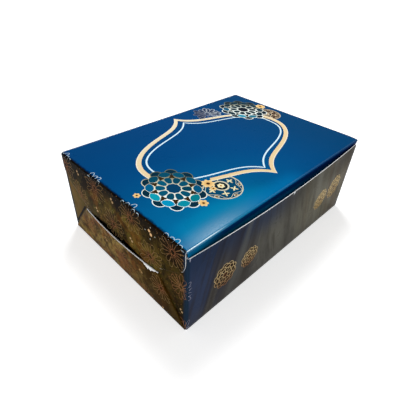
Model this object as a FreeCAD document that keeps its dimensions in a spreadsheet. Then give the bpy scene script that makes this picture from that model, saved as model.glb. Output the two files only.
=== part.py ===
# Sweet box: a tray with its own hinged lid, folded and glued from one sheet of thin printed board.
# Frame: origin at the middle of the underside, +X along the length, -Y the front, +Z up, millimetres.
import FreeCAD, Part
import Sketcher
import os

doc = FreeCAD.newDocument("sweet_box")

X = FreeCAD.Vector(1, 0, 0)
Y = FreeCAD.Vector(0, 1, 0)
Z = FreeCAD.Vector(0, 0, 1)

# Driving sizes
board = 0.5  # thickness of the board
box_length = 203  # lid length over its end folds
box_width = 141  # width over the front and back walls at their foot
box_height = 72  # height to the top of the lid
rim_drop = 5.5  # front wall and dust flaps end this far below the lid's top
wall_bow = 3.8  # outward bow of the front wall's free edge
fold_radius = 0.8  # outside radius of a fold that stays shut
slip_gap = 0.2  # room between layers that slide past each other
glue_gap = 0.1  # least room for glue between pocket flap and dust flap
hinge_gap = 0.05  # room between a crease and the panel that turns about it
lid_setback = 0.5  # lid's front fold behind the front wall's outside
dust_length = 55  # dust flap from its crease to its free edge
dust_fall = 5  # fall of a dust flap's top edge towards its free end
dust_round = 9  # round of a dust flap's free upper corner
pocket_height = 34  # height of the pocket flap's free edge
pocket_mouth = 87  # length of the pocket flap's free edge
pocket_bow = 2.4  # outward bow of the pocket flap's free edge
tongue_inset = 1.3  # end tongue's sides in from the box's front and back
tongue_shoulder = 19  # straight part of the end tongue's sides, from the lid's top
tongue_entry = 71  # end tongue's width where it enters the pocket
tongue_reach = 8  # end tongue's depth inside the pocket
tongue_tip = 48  # width of the end tongue's lower edge
shoulder_round = 16  # round of the end tongue's shoulders
tip_round = 6  # round of the end tongue's lower corners
tuck_depth = 26  # tuck flap from its crease to its free edge
tuck_lean = 6.5  # lean of the tuck flap towards the inside, degrees
tuck_inset = 1.2  # tuck flap's ends in from the dust flaps
tuck_taper = 3  # draw-in of the tuck flap's ends towards its free edge
tuck_round = 10  # round of the tuck flap's free corners
glue_low = 4  # lower end of a glue dab above the underside
glue_high = 14  # upper end of a glue dab above the underside
glue_inset = 2  # glue dab in from the pocket flap's slanted side
glue_width = 6  # width of a glue dab

# The sheet that every piece is bound to
sheet = doc.addObject("Spreadsheet::Sheet", "Sizes")
driving = {
    "board": board,
    "box_length": box_length,
    "box_width": box_width,
    "box_height": box_height,
    "rim_drop": rim_drop,
    "wall_bow": wall_bow,
    "fold_radius": fold_radius,
    "slip_gap": slip_gap,
    "glue_gap": glue_gap,
    "hinge_gap": hinge_gap,
    "lid_setback": lid_setback,
    "dust_length": dust_length,
    "dust_fall": dust_fall,
    "dust_round": dust_round,
    "pocket_height": pocket_height,
    "pocket_mouth": pocket_mouth,
    "pocket_bow": pocket_bow,
    "tongue_inset": tongue_inset,
    "tongue_shoulder": tongue_shoulder,
    "tongue_entry": tongue_entry,
    "tongue_reach": tongue_reach,
    "tongue_tip": tongue_tip,
    "shoulder_round": shoulder_round,
    "tip_round": tip_round,
    "tuck_depth": tuck_depth,
    "tuck_lean": tuck_lean,
    "tuck_inset": tuck_inset,
    "tuck_taper": tuck_taper,
    "tuck_round": tuck_round,
    "glue_low": glue_low,
    "glue_high": glue_high,
    "glue_inset": glue_inset,
    "glue_width": glue_width,
}
for row, (alias, value) in enumerate(driving.items(), start=1):
    sheet.set("A%d" % row, alias)
    sheet.set("B%d" % row, str(value))
    sheet.setAlias("B%d" % row, alias)
doc.recompute()

# Places that several pieces share, each from the driving sizes
HINGE_Z = "(Sizes.box_height - Sizes.board)"
BACK_HINGE_Y = "(Sizes.box_width / 2 - Sizes.board)"
TUCK_HINGE_Y = "(Sizes.box_width / 2 - Sizes.lid_setback - Sizes.board)"
END_HINGE_X = "(Sizes.box_length / 2 - Sizes.board)"
DUST_X = "(Sizes.box_length / 2 - Sizes.board - Sizes.slip_gap)"
POCKET_X = "(%s + Sizes.glue_gap + Sizes.board)" % DUST_X
WALL_END_X = "(%s - Sizes.fold_radius)" % DUST_X
FOLD_Y = "(Sizes.box_width / 2 - Sizes.fold_radius)"
FLOOR_X = "(%s - Sizes.fold_radius)" % POCKET_X
RIM_Z = "(Sizes.box_height - Sizes.rim_drop)"
PAPER_TOP = "(Sizes.board + Sizes.hinge_gap)"


def put(obj, place, across, along):
    """Lay obj's local X and Y along two directions of the box, its origin at three bound coordinates."""
    turn = FreeCAD.Rotation(across, along, across.cross(along), "XYZ")
    obj.Placement = FreeCAD.Placement(FreeCAD.Vector(0, 0, 0), turn)
    for axis, expression in zip("xyz", place):
        obj.setExpression("Placement.Base." + axis, expression)


def new_sketch(body, name, lift="0"):
    """A sketch on the body's own XY plane, raised by a bound height."""
    sketch = body.newObject("Sketcher::SketchObject", name)
    plane = [part for part in body.Origin.OriginFeatures if part.Role == "XY_Plane"][0]
    sketch.AttachmentSupport = (plane, [""])
    sketch.MapMode = "FlatFace"
    sketch.setExpression("AttachmentOffset.Base.z", lift)
    return sketch


def pin_point(sketch, edge, end, x, y):
    """Hold one end of a sketch edge at bound coordinates from the sketch's origin."""
    for kind, expression in (("DistanceX", x), ("DistanceY", y)):
        point = sketch.getPoint(edge, end)
        start = point.x if kind == "DistanceX" else point.y
        index = sketch.addConstraint(Sketcher.Constraint(kind, -1, 1, edge, end, start))
        sketch.setExpression("Constraints[%d]" % index, expression)


def close_loop(sketch, count):
    """Join each of count edges to the next one, the last to the first."""
    for edge in range(count):
        sketch.addConstraint(Sketcher.Constraint("Coincident", edge, 2, (edge + 1) % count, 1))


def draw_outline(sketch, corners):
    """A closed outline of straight edges through bound corners."""
    count = len(corners)
    ring = [FreeCAD.Rotation(Z, 360.0 * k / count).multVec(X * 40) for k in range(count)]
    for k in range(count):
        sketch.addGeometry(Part.LineSegment(ring[k], ring[(k + 1) % count]), False)
    close_loop(sketch, count)
    for k in range(count):
        pin_point(sketch, k, 1, corners[k][0], corners[k][1])


def flat_panel(name, corners, place, across, along, reverse=False):
    """A panel drawn flat, as it lies in the blank, and then folded into its place.

    A corner with a third entry is cut round to that radius.
    """
    body = doc.addObject("PartDesign::Body", name)
    sketch = new_sketch(body, name + "_outline")
    draw_outline(sketch, corners)
    pad = body.newObject("PartDesign::Pad", name + "_sheet")
    pad.Profile = sketch
    pad.Reversed = reverse
    pad.setExpression("Length", "Sizes.board")
    doc.recompute()
    for number, corner in enumerate(corners):
        if len(corner) < 3:
            continue
        spot = sketch.getPoint(number, 1)
        edges = []
        for k, edge in enumerate(body.Shape.Edges):
            ends = [vertex.Point for vertex in edge.Vertexes]
            if all(abs(p.x - spot.x) + abs(p.y - spot.y) < 1e-6 for p in ends):
                edges.append("Edge%d" % (k + 1))
        sharp = body.Tip
        fillet = body.newObject("PartDesign::Fillet", "%s_round_%d" % (name, number))
        fillet.Base = (sharp, edges)
        fillet.setExpression("Radius", corner[2])
        doc.recompute()
    put(body, place, across, along)
    return body


def bowed_panel(name, foot, mouth, top, bow, place, across, along):
    """A panel that is straight along its crease and bowed outward, to local -Y, along its free edge."""
    body = doc.addObject("PartDesign::Body", name)
    low = new_sketch(body, name + "_crease_line", "Sizes.fold_radius")
    left = "-" + foot
    draw_outline(low, [(left, "0"), (foot, "0"), (foot, "Sizes.board"), (left, "Sizes.board")])
    high = new_sketch(body, name + "_free_edge", top)
    ends = [FreeCAD.Vector(40, 0, 0), FreeCAD.Vector(40, 1, 0)]
    mirror = [FreeCAD.Vector(-40, 0, 0), FreeCAD.Vector(-40, 1, 0)]
    outer = Part.Arc(mirror[0], FreeCAD.Vector(0, -3, 0), ends[0])
    inner = Part.Arc(ends[1], FreeCAD.Vector(0, -2, 0), mirror[1])
    high.addGeometry(outer, False)
    high.addGeometry(Part.LineSegment(ends[0], ends[1]), False)
    high.addGeometry(inner, False)
    high.addGeometry(Part.LineSegment(mirror[1], mirror[0]), False)
    radius = "(%s)^2 / (2 * %s) + %s / 2" % (mouth, bow, bow)
    outer_start = 1 if high.getPoint(0, 1).x < 0 else 2
    inner_start = 1 if high.getPoint(2, 1).x > 0 else 2
    high.addConstraint(Sketcher.Constraint("Coincident", 0, 3 - outer_start, 1, 1))
    high.addConstraint(Sketcher.Constraint("Coincident", 1, 2, 2, inner_start))
    high.addConstraint(Sketcher.Constraint("Coincident", 2, 3 - inner_start, 3, 1))
    high.addConstraint(Sketcher.Constraint("Coincident", 3, 2, 0, outer_start))
    pin_point(high, 1, 1, mouth, "0")
    pin_point(high, 1, 2, mouth, "Sizes.board")
    pin_point(high, 3, 1, "-" + mouth, "Sizes.board")
    pin_point(high, 3, 2, "-" + mouth, "0")
    for arc in (0, 2):
        index = high.addConstraint(Sketcher.Constraint("Radius", arc, high.Geometry[arc].Radius))
        high.setExpression("Constraints[%d]" % index, radius)
    loft = body.newObject("PartDesign::AdditiveLoft", name + "_sheet")
    loft.Profile = low
    loft.Sections = [high]
    loft.Ruled = True
    doc.recompute()
    put(body, place, across, along)
    return body


def shut_fold(name, length, place, first, second):
    """A fold that stays shut: a quarter of a thin tube between two panels, from first to second."""
    outside = doc.addObject("Part::Cylinder", name + "_outside")
    inside = doc.addObject("Part::Cylinder", name + "_inside")
    outside.setExpression("Radius", "Sizes.fold_radius")
    inside.setExpression("Radius", "Sizes.fold_radius - Sizes.board")
    for tube in (outside, inside):
        tube.Angle = 90
        tube.setExpression("Height", length)
    fold = doc.addObject("Part::Cut", name)
    fold.Base = outside
    fold.Tool = inside
    put(fold, place, first, second)
    return fold


def hinge_crease(name, length, place, first, second):
    """A working crease: the round bead on the hinge line, open where the panel that carries it butts in."""
    bead = doc.addObject("Part::Cylinder", name)
    bead.Angle = 270
    bead.setExpression("Radius", "Sizes.board")
    bead.setExpression("Height", length)
    put(bead, place, first, second)
    return bead


def minus(expression):
    """The same distance on the other side of the origin."""
    return "-" + expression


pieces = []

# Tray: floor, back wall and the two bowed panels at the front and the four flaps that line the ends
floor_corners = [(minus(FLOOR_X), minus(FOLD_Y)), (FLOOR_X, minus(FOLD_Y)), (FLOOR_X, FOLD_Y), (minus(FLOOR_X), FOLD_Y)]
pieces.append(flat_panel("bottom_panel", floor_corners, ("0", "0", "0"), X, Y))

back_corners = [
    (minus(WALL_END_X), "Sizes.fold_radius"),
    (WALL_END_X, "Sizes.fold_radius"),
    (WALL_END_X, HINGE_Z),
    (minus(WALL_END_X), HINGE_Z),
]
pieces.append(flat_panel("back_wall", back_corners, ("0", "Sizes.box_width / 2", "0"), X, Z))

front_place = ("0", "-Sizes.box_width / 2", "0")
pieces.append(bowed_panel("front_wall", WALL_END_X, WALL_END_X, RIM_Z, "Sizes.wall_bow", front_place, X, Y))

POCKET_HALF = "(Sizes.pocket_mouth / 2)"
left_place = (minus(POCKET_X), "0", "0")
right_place = (POCKET_X, "0", "0")
left_pocket = bowed_panel(
    "left_pocket_flap", FOLD_Y, POCKET_HALF, "Sizes.pocket_height", "Sizes.pocket_bow", left_place, -Y, X
)
right_pocket = bowed_panel(
    "right_pocket_flap", FOLD_Y, POCKET_HALF, "Sizes.pocket_height", "Sizes.pocket_bow", right_place, Y, -X
)
pieces += [left_pocket, right_pocket]

# A dust flap runs from its corner crease along the end; its top edge falls away and its free corner is cut round
dust_foot = "(Sizes.fold_radius + Sizes.slip_gap)"
dust_corners = [
    ("0", dust_foot),
    ("Sizes.dust_length", dust_foot),
    ("Sizes.dust_length", "Sizes.box_height - Sizes.rim_drop - Sizes.dust_fall", "Sizes.dust_round"),
    ("0", RIM_Z),
]
dust_inner = "(Sizes.box_length / 2 - 2 * Sizes.board - Sizes.slip_gap)"
for side, outer_x, inner_x in (("left", minus(DUST_X), minus(dust_inner)), ("right", dust_inner, DUST_X)):
    front_dust = ("front_%s_dust_flap" % side, (outer_x, minus(FOLD_Y), "0"), Y)
    back_dust = ("back_%s_dust_flap" % side, (inner_x, FOLD_Y, "0"), -Y)
    for name, place, across in (front_dust, back_dust):
        pieces.append(flat_panel(name, dust_corners, place, across, Z))

# Folds of the tray that stay shut
wall_length = "2 * " + WALL_END_X
end_length = "2 * " + FOLD_Y
corner_length = "%s - Sizes.fold_radius" % RIM_Z
low = "Sizes.fold_radius"
pieces.append(shut_fold("bottom_front_crease", wall_length, (minus(WALL_END_X), minus(FOLD_Y), low), -Y, -Z))
pieces.append(shut_fold("bottom_back_crease", wall_length, (minus(WALL_END_X), FOLD_Y, low), -Z, Y))
pieces.append(shut_fold("bottom_left_crease", end_length, (minus(FLOOR_X), minus(FOLD_Y), low), -Z, -X))
pieces.append(shut_fold("bottom_right_crease", end_length, (FLOOR_X, minus(FOLD_Y), low), X, -Z))
corners = (
    ("front_left", minus(WALL_END_X), minus(FOLD_Y), -X, -Y),
    ("front_right", WALL_END_X, minus(FOLD_Y), -Y, X),
    ("back_right", WALL_END_X, FOLD_Y, X, Y),
    ("back_left", minus(WALL_END_X), FOLD_Y, Y, -X),
)
for corner, x, y, first, second in corners:
    pieces.append(shut_fold(corner + "_corner_crease", corner_length, (x, y, low), first, second))

# Glue dabs: wedges that fill the room between a dust flap and the slanted side of a pocket flap
side_run = "(%s - Sizes.pocket_mouth / 2)" % FOLD_Y
side_rise = "(Sizes.pocket_height - Sizes.fold_radius)"


def slant(height, inset):
    """Distance from the box's middle plane to a line inside the pocket flap's slanted side."""
    return "%s - %s * (%s - Sizes.fold_radius) / %s - %s" % (FOLD_Y, side_run, height, side_rise, inset)


far_inset = "(Sizes.glue_inset + Sizes.glue_width)"
glue_corners = [
    (slant("Sizes.glue_low", "Sizes.glue_inset"), "Sizes.glue_low"),
    (slant("Sizes.glue_high", "Sizes.glue_inset"), "Sizes.glue_high"),
    (slant("Sizes.glue_high", far_inset), "Sizes.glue_high"),
    (slant("Sizes.glue_low", far_inset), "Sizes.glue_low"),
]
dabs = (
    ("front_left", minus(DUST_X), -Y, False, left_pocket),
    ("back_left", minus(DUST_X), Y, True, left_pocket),
    ("front_right", DUST_X, -Y, True, right_pocket),
    ("back_right", DUST_X, Y, False, right_pocket),
)
for corner, x, across, reverse, pocket in dabs:
    blank = flat_panel(corner + "_glue_blank", glue_corners, (x, "0", "0"), across, Z, reverse)
    blank.Tip.setExpression("Length", "Sizes.glue_gap + Sizes.board")
    dab = doc.addObject("Part::Cut", corner + "_glue")
    dab.Base = blank
    dab.Tool = pocket
    pieces.append(dab)

# Lid: its panel, the back crease that the tray carries, and the three creases that the lid carries
pieces.append(hinge_crease("lid_back_crease", wall_length, (minus(WALL_END_X), BACK_HINGE_Y, HINGE_Z), Y, Z))
lid_back = "(Sizes.box_width / 2 - 2 * Sizes.board - Sizes.hinge_gap)"
lid_corners = [
    (minus(END_HINGE_X), minus(TUCK_HINGE_Y)),
    (END_HINGE_X, minus(TUCK_HINGE_Y)),
    (END_HINGE_X, lid_back),
    (minus(END_HINGE_X), lid_back),
]
pieces.append(flat_panel("lid_panel", lid_corners, ("0", "0", HINGE_Z), X, Y))
crease_half = "(Sizes.box_width / 2 - Sizes.tongue_inset)"
crease_length = "2 * " + crease_half
tuck_half = "(Sizes.box_length / 2 - 2 * Sizes.board - Sizes.slip_gap)"
tuck_start = (minus(tuck_half), minus(TUCK_HINGE_Y), HINGE_Z)
pieces.append(hinge_crease("lid_tuck_crease", "2 * " + tuck_half, tuck_start, Z, -Y))
left_start = (minus(END_HINGE_X), minus(crease_half), HINGE_Z)
right_start = (END_HINGE_X, minus(crease_half), HINGE_Z)
pieces.append(hinge_crease("left_lid_crease", crease_length, left_start, X, -Z))
pieces.append(hinge_crease("right_lid_crease", crease_length, right_start, Z, X))

# End tongues: full width at the lid, round shoulders, slanted sides and a tip that slips into the pocket
entry_drop = "(%s - Sizes.pocket_height)" % HINGE_Z
tip_drop = "(%s - Sizes.pocket_height + Sizes.tongue_reach)" % HINGE_Z
shoulder_drop = "(Sizes.tongue_shoulder - Sizes.board)"
tongue_side = [
    (crease_half, PAPER_TOP),
    (crease_half, shoulder_drop, "Sizes.shoulder_round"),
    ("(Sizes.tongue_entry / 2)", entry_drop),
    ("(Sizes.tongue_tip / 2)", tip_drop, "Sizes.tip_round"),
]
tongue_corners = tongue_side + [(minus(corner[0]),) + corner[1:] for corner in reversed(tongue_side)]
tongue_left = (minus(END_HINGE_X), "0", HINGE_Z)
tongue_right = ("Sizes.box_length / 2", "0", HINGE_Z)
pieces.append(flat_panel("left_lid_end_flap", tongue_corners, tongue_left, Y, -Z))
pieces.append(flat_panel("right_lid_end_flap", tongue_corners, tongue_right, Y, -Z))

# Tuck flap: hangs from the lid's front crease, leaning in, with drawn-in ends and round corners
tuck_top = "(%s - Sizes.tuck_inset)" % tuck_half
tuck_low = "(%s - Sizes.tuck_inset - Sizes.tuck_taper)" % tuck_half
tuck_corners = [
    (tuck_top, PAPER_TOP),
    (tuck_low, "Sizes.tuck_depth", "Sizes.tuck_round"),
    (minus(tuck_low), "Sizes.tuck_depth", "Sizes.tuck_round"),
    (minus(tuck_top), PAPER_TOP),
]
tuck_place = ("0", minus(TUCK_HINGE_Y), HINGE_Z)
tuck = flat_panel("lid_tuck_flap", tuck_corners, tuck_place, X, -Z, True)
tuck.Placement = FreeCAD.Placement(tuck.Placement.Base, FreeCAD.Rotation(X, -80))
tuck.setExpression("Placement.Rotation.Angle", "Sizes.tuck_lean - 90")
pieces.append(tuck)

doc.recompute()

for obj in doc.Objects:
    if "Invalid" in obj.State or "Error" in obj.State:
        raise RuntimeError("not built: " + obj.Name)
for piece in pieces:
    if piece.Shape.isNull() or not piece.Shape.isValid() or len(piece.Shape.Solids) != 1:
        raise RuntimeError("not one sound solid: " + piece.Label)

os.makedirs("parts", exist_ok=True)
for piece in pieces:
    piece.Shape.exportStep("parts/%s.step" % piece.Label)
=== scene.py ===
import bmesh
import bpy
import numpy as np
from mathutils import Matrix, Vector


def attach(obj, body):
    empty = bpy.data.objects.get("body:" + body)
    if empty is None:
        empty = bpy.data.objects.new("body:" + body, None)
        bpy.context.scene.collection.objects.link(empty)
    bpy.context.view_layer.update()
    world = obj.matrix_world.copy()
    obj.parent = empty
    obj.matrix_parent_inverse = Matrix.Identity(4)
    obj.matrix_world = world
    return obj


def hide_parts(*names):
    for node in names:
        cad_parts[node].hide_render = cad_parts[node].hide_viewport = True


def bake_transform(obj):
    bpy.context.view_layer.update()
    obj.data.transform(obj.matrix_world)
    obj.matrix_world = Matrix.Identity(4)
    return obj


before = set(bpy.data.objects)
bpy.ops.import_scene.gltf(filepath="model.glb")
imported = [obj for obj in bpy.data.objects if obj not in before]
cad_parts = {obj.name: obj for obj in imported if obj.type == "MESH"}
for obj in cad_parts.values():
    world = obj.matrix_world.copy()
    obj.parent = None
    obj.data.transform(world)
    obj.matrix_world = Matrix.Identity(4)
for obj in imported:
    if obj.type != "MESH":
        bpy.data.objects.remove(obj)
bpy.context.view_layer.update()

# Bottom panel and the folds at its two ends.
# Thin duplex board, printed brown outside and plain inside, scored and folded up on all four sides.
# The tray stands on it, so it carries no ornament.

# Lengths are in millimetres, but in metres inside the shaders and for the lamps and the camera.
MM = 0.001
UNCUT = 9.0
PRINT, PLAIN, RAW = range(3)
FILM_RIPPLE = 0.03
BROWN_FILM = (0.004, (1.0, 0.72, 0.40), 0.0)
BARE_BOARD = (0.97, 0.98, 1.0)


def wire(tree, node, inputs):
    """Set a node's inputs, by name or place: a socket is linked, a constant is set on the input itself."""
    for key, value in inputs.items():
        if isinstance(value, bpy.types.NodeSocket):
            tree.links.new(value, node.inputs[key])
        else:
            node.inputs[key].default_value = value


def add(tree, kind, inputs=None, **settings):
    """A new shader node, with its own settings and its inputs wired."""
    node = tree.nodes.new(kind)
    for key, value in settings.items():
        setattr(node, key, value)
    wire(tree, node, inputs or {})
    return node


def maths(tree, how, *values):
    """One step of arithmetic on constants or sockets, such as ADD or ABSOLUTE."""
    return add(tree, "ShaderNodeMath", dict(enumerate(values)), operation=how).outputs[0]


def product(tree, first, *others):
    """The product of masks, which is full only where all of them are."""
    for other in others:
        first = maths(tree, "MULTIPLY", first, other)
    return first


def mixed(tree, share, first, second, how="MIX"):
    """A colour between first and second, by a share from 0 to 1; each is a colour or a socket."""
    first, second = ((*ink, 1.0) if isinstance(ink, tuple) else ink for ink in (first, second))
    inks = {0: share, 6: first, 7: second}
    return add(tree, "ShaderNodeMix", inks, data_type="RGBA", blend_type=how).outputs[2]


def scaled(tree, value, low, high, bottom=0.0, top=1.0):
    """A value carried from the range low..high to bottom..top, with soft ends."""
    ranges = {"Value": value, "From Min": low, "From Max": high, "To Min": bottom, "To Max": top}
    return add(tree, "ShaderNodeMapRange", ranges, interpolation_type="SMOOTHSTEP").outputs["Result"]


def noise(tree, vector, size, detail=3.0, roughness=0.55, distortion=0.0):
    """Soft clouds whose lumps are about size millimetres across."""
    grain = {"Scale": 1.0 / (size * MM), "Detail": detail, "Roughness": roughness, "Distortion": distortion}
    return add(tree, "ShaderNodeTexNoise", {"Vector": vector, **grain}).outputs["Fac"]


def moved(tree, coords, shift, stretch=(1.0, 1.0, 1.0)):
    """Coordinates stretched and then shifted, so that a pattern lies elsewhere."""
    change = {"Vector": coords, "Location": shift, "Scale": stretch}
    return add(tree, "ShaderNodeMapping", change).outputs["Vector"]


def off_centre(tree, coords, shift, stretch):
    """Distance from the middle of an oval: the length of moved coordinates."""
    oval = moved(tree, coords, shift, stretch)
    return add(tree, "ShaderNodeVectorMath", {0: oval}, operation="LENGTH").outputs["Value"]


def axes(tree, coords):
    """The x, y and z of coordinates, in metres."""
    return tuple(add(tree, "ShaderNodeSeparateXYZ", {"Vector": coords}).outputs)


def new_group(name, inputs, outputs):
    """An empty shader group, its given sockets and the node that takes its results.

    inputs and outputs give each socket's name and kind: Float or Vector.
    """
    group = bpy.data.node_groups.new(name, "ShaderNodeTree")
    for way, sockets in (("INPUT", inputs), ("OUTPUT", outputs)):
        for label, kind in sockets.items():
            group.interface.new_socket(label, in_out=way, socket_type="NodeSocket" + kind)
    return group, group.nodes.new("NodeGroupInput").outputs, group.nodes.new("NodeGroupOutput")


def place(tree, group, inputs):
    """One use of a shader group in a material, with its own inputs."""
    return add(tree, "ShaderNodeGroup", inputs, node_tree=group).outputs


# Film skin: the thin gloss film over the print, with broad ripples and rubbed patches.
film_outputs = {"Roughness": "Float", "Height": "Float"}
film_skin, given, result = new_group("film_skin", {"Vector": "Vector"}, film_outputs)
ripple = noise(film_skin, given["Vector"], 38.0, 2.0)
rub = noise(film_skin, given["Vector"], 24.0, 3.0)
wire(film_skin, result, {"Roughness": scaled(film_skin, rub, 0.3, 0.75, 0.26, 0.40), "Height": ripple})

# Edge chips: print that has flaked off along a cut, by the distance to it and a reach, in millimetres.
chip_inputs = {"Vector": "Vector", "Distance": "Float", "Reach": "Float"}
edge_chips, given, result = new_group("edge_chips", chip_inputs, {"Mask": "Float"})
flake = scaled(edge_chips, noise(edge_chips, given["Vector"], 2.4, 5.0, 0.7), 0.42, 0.72)
patch = scaled(edge_chips, noise(edge_chips, given["Vector"], 17.0, 2.0), 0.40, 0.68)
flaked = product(edge_chips, flake, patch, given["Reach"])
wire(edge_chips, result, {"Mask": maths(edge_chips, "LESS_THAN", given["Distance"], flaked)})

# Board fibre: short hairs, flecks and clouds of recycled pulp, for plain sides and cut edges.
fibre_outputs = {"Fleck": "Float", "Cloud": "Float", "Height": "Float"}
board_fibre, given, result = new_group("board_fibre", {"Vector": "Vector"}, fibre_outputs)
lengthwise = moved(board_fibre, given["Vector"], (0.0, 0.0, 0.0), (0.35, 1.0, 1.0))
hair = noise(board_fibre, lengthwise, 0.7, 6.0, 0.7, 1.5)
cloud = noise(board_fibre, given["Vector"], 21.0, 4.0)
wire(board_fibre, result, {"Fleck": scaled(board_fibre, hair, 0.60, 0.78), "Cloud": cloud, "Height": hair})


def new_material(name):
    """An empty material with its tree, its Principled shader and the object's own coordinates."""
    material = bpy.data.materials.new(name)
    material.use_nodes = True
    tree = material.node_tree
    return material, tree, tree.nodes["Principled BSDF"], add(tree, "ShaderNodeTexCoord").outputs["Object"]


def bumped(tree, shader, height, depth):
    """Give the shader a bump from a height, in units of depth millimetres."""
    bump = add(tree, "ShaderNodeBump", {"Height": height, "Strength": 1.0, "Distance": depth * MM})
    wire(tree, shader, {"Normal": bump.outputs["Normal"]})


def laminated(name, ink, film, chips, rim=0.0):
    """Printed board under gloss film, with white board in chips and in a rim along its cuts.

    ink gives the colour; film holds the gloss, its tint and its share of metal; chips and rim are widths
    in millimetres.
    """
    material, tree, shader, coords = new_material(name)
    gloss, tint, metal = film
    skin = place(tree, film_skin, {"Vector": coords})
    to_cut = add(tree, "ShaderNodeAttribute", attribute_name="edge_mm").outputs["Fac"]
    chipped = place(tree, edge_chips, {"Vector": coords, "Distance": to_cut, "Reach": chips})["Mask"]
    bare = maths(tree, "MAXIMUM", chipped, maths(tree, "LESS_THAN", to_cut, rim))
    finish = {
        "Base Color": mixed(tree, bare, ink(tree, coords), BARE_BOARD),
        "Roughness": skin["Roughness"],
        "Specular IOR Level": gloss,
        "Specular Tint": (*tint, 1.0),
        "Metallic": metal,
    }
    wire(tree, shader, finish)
    bumped(tree, shader, skin["Height"], FILM_RIPPLE)
    return material


def board_material(name, pale, dark, depth):
    """Bare board: a pale ground with grey clouds and darker flecks of fibre, matt."""
    material, tree, shader, coords = new_material(name)
    fibre = place(tree, board_fibre, {"Vector": coords})
    ground = mixed(tree, fibre["Cloud"], pale, tuple(0.86 * part for part in pale))
    finish = {
        "Base Color": mixed(tree, fibre["Fleck"], ground, dark),
        "Roughness": scaled(tree, fibre["Cloud"], 0.2, 0.8, 0.78, 0.92),
        "Specular IOR Level": 0.2,
    }
    wire(tree, shader, finish)
    bumped(tree, shader, fibre["Height"], depth)
    return material


def paint(red, green, blue):
    """A colour by its eight-bit screen values, as linear light."""
    return tuple(((np.array([red, green, blue]) / 255.0) ** 2.2).tolist())


def coated(tree, ground, *coats):
    """A ground under coats of ink, laid in turn.

    A coat holds a value, the two ends of the range over which it comes in, its full share and its ink.
    """
    for value, low, high, share, ink in coats:
        ground = mixed(tree, scaled(tree, value, low, high, 0.0, share), ground, paint(*ink))
    return ground


def brown_ink(tree, coords):
    """Mottled brown: umber and olive clouds with moss, peat and rust, and painted shade near black under the
    lid's fold.

    It darkens towards the front and has painted shade in the upper back corner; it has one soft blot, and is
    navy at the corner folds. A thin dark line of painted shadow follows the pocket flap's slant at the back,
    and fine dust lies over it.
    """
    _, y, z = axes(tree, coords)
    clouds = noise(tree, coords, 22.0, 5.0, 0.62, 0.6)
    moss = noise(tree, moved(tree, coords, (0.7, 0.4, 0.9)), 8.0, 4.0, 0.65)
    peat = noise(tree, coords, 5.5, 6.0, 0.72, 0.8)
    rust = noise(tree, moved(tree, coords, (0.3, 0.1, 0.2)), 17.0, 4.0)
    ground = coated(
        tree,
        mixed(tree, scaled(tree, clouds, 0.40, 0.61), paint(34, 24, 7), paint(104, 86, 38)),
        (moss, 0.52, 0.66, 0.6, (78, 78, 34)),
        (peat, 0.42, 0.62, 0.8, (30, 22, 11)),
        (rust, 0.52, 0.70, 0.6, (106, 66, 25)),
        # Painted shade: near black under the lid's fold.
        (z, 0.055, 0.0695, 0.93, (17, 16, 18)),
        (y, -0.03, -0.06, 0.68, (31, 21, 8)),
    )
    low_back = product(tree, scaled(tree, y, 0.02, 0.06), scaled(tree, z, 0.058, 0.04, 0.0, 0.6))
    # Painted shade in the upper back corner, below the fold.
    painted_shade_back = product(tree, scaled(tree, y, 0.032, 0.053), scaled(tree, z, 0.047, 0.060, 0.0, 0.86))
    ground = mixed(tree, low_back, ground, paint(104, 85, 40))
    ground = mixed(tree, painted_shade_back, ground, paint(20, 17, 14))
    blot = off_centre(tree, coords, (0, 0.036, -0.0585), (0, 1, 1))
    ground = coated(tree, ground, (blot, 0.013, 0.003, 0.7, (34, 25, 14)))
    # Painted shadow: a thin dark line on the dust flap beside the pocket flap's slant at the back, where the
    # flap stands off it.
    slant = maths(tree, "SUBTRACT", maths(tree, "MULTIPLY_ADD", z, 0.789, y), 0.0732)
    line = scaled(tree, maths(tree, "ABSOLUTE", slant), 0.0017, 0.0009)
    ground = mixed(tree, product(tree, line, scaled(tree, z, 0.0345, 0.0335)), ground, paint(12, 9, 7))
    dust = noise(tree, coords, 1.5, 2.0, 0.5)
    to_corner = maths(tree, "ABSOLUTE", y)
    return coated(
        tree,
        ground,
        (dust, 0.66, 0.74, 0.7, (150, 108, 62)),
        (to_corner, 0.0662, 0.0690, 1.0, (26, 42, 58)),
    )


brown_print = laminated("brown_print", brown_ink, BROWN_FILM, 0.6)
plain_board = board_material("plain_board", (0.60, 0.58, 0.53), (0.34, 0.31, 0.27), 0.04)
raw_edge = board_material("raw_edge", (0.88, 0.89, 0.90), (0.66, 0.65, 0.62), 0.05)


def board_finishes(mesh, printed, kinds, to_cut):
    """Give each face its print, plain side or raw edge, and each point its distance to the nearest cut."""
    mesh.materials.clear()
    for material in (printed, plain_board, raw_edge):
        mesh.materials.append(material)
    mesh.polygons.foreach_set("material_index", kinds.astype(np.int32))
    mesh.attributes.new("edge_mm", "FLOAT", "POINT").data.foreach_set("value", to_cut)
    mesh.update()


def dress(name, printed, outward, least=0.3):
    """Finish a CAD node: print where faces look along outward, plain where they look back, or raw edge."""
    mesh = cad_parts[name].data
    normals = np.empty(len(mesh.polygons) * 3)
    mesh.polygons.foreach_get("normal", normals)
    facing = normals.reshape(-1, 3) @ (np.array(outward, float) / np.linalg.norm(outward))
    kinds = np.where(facing > least, PRINT, np.where(facing < -least, PLAIN, RAW))
    board_finishes(mesh, printed, kinds, np.full(len(mesh.vertices), UNCUT))


dress("bottom_panel", brown_print, (0, 0, -1))
dress("bottom_left_crease", brown_print, (-1, 0, -1))
dress("bottom_right_crease", brown_print, (1, 0, -1))

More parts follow.
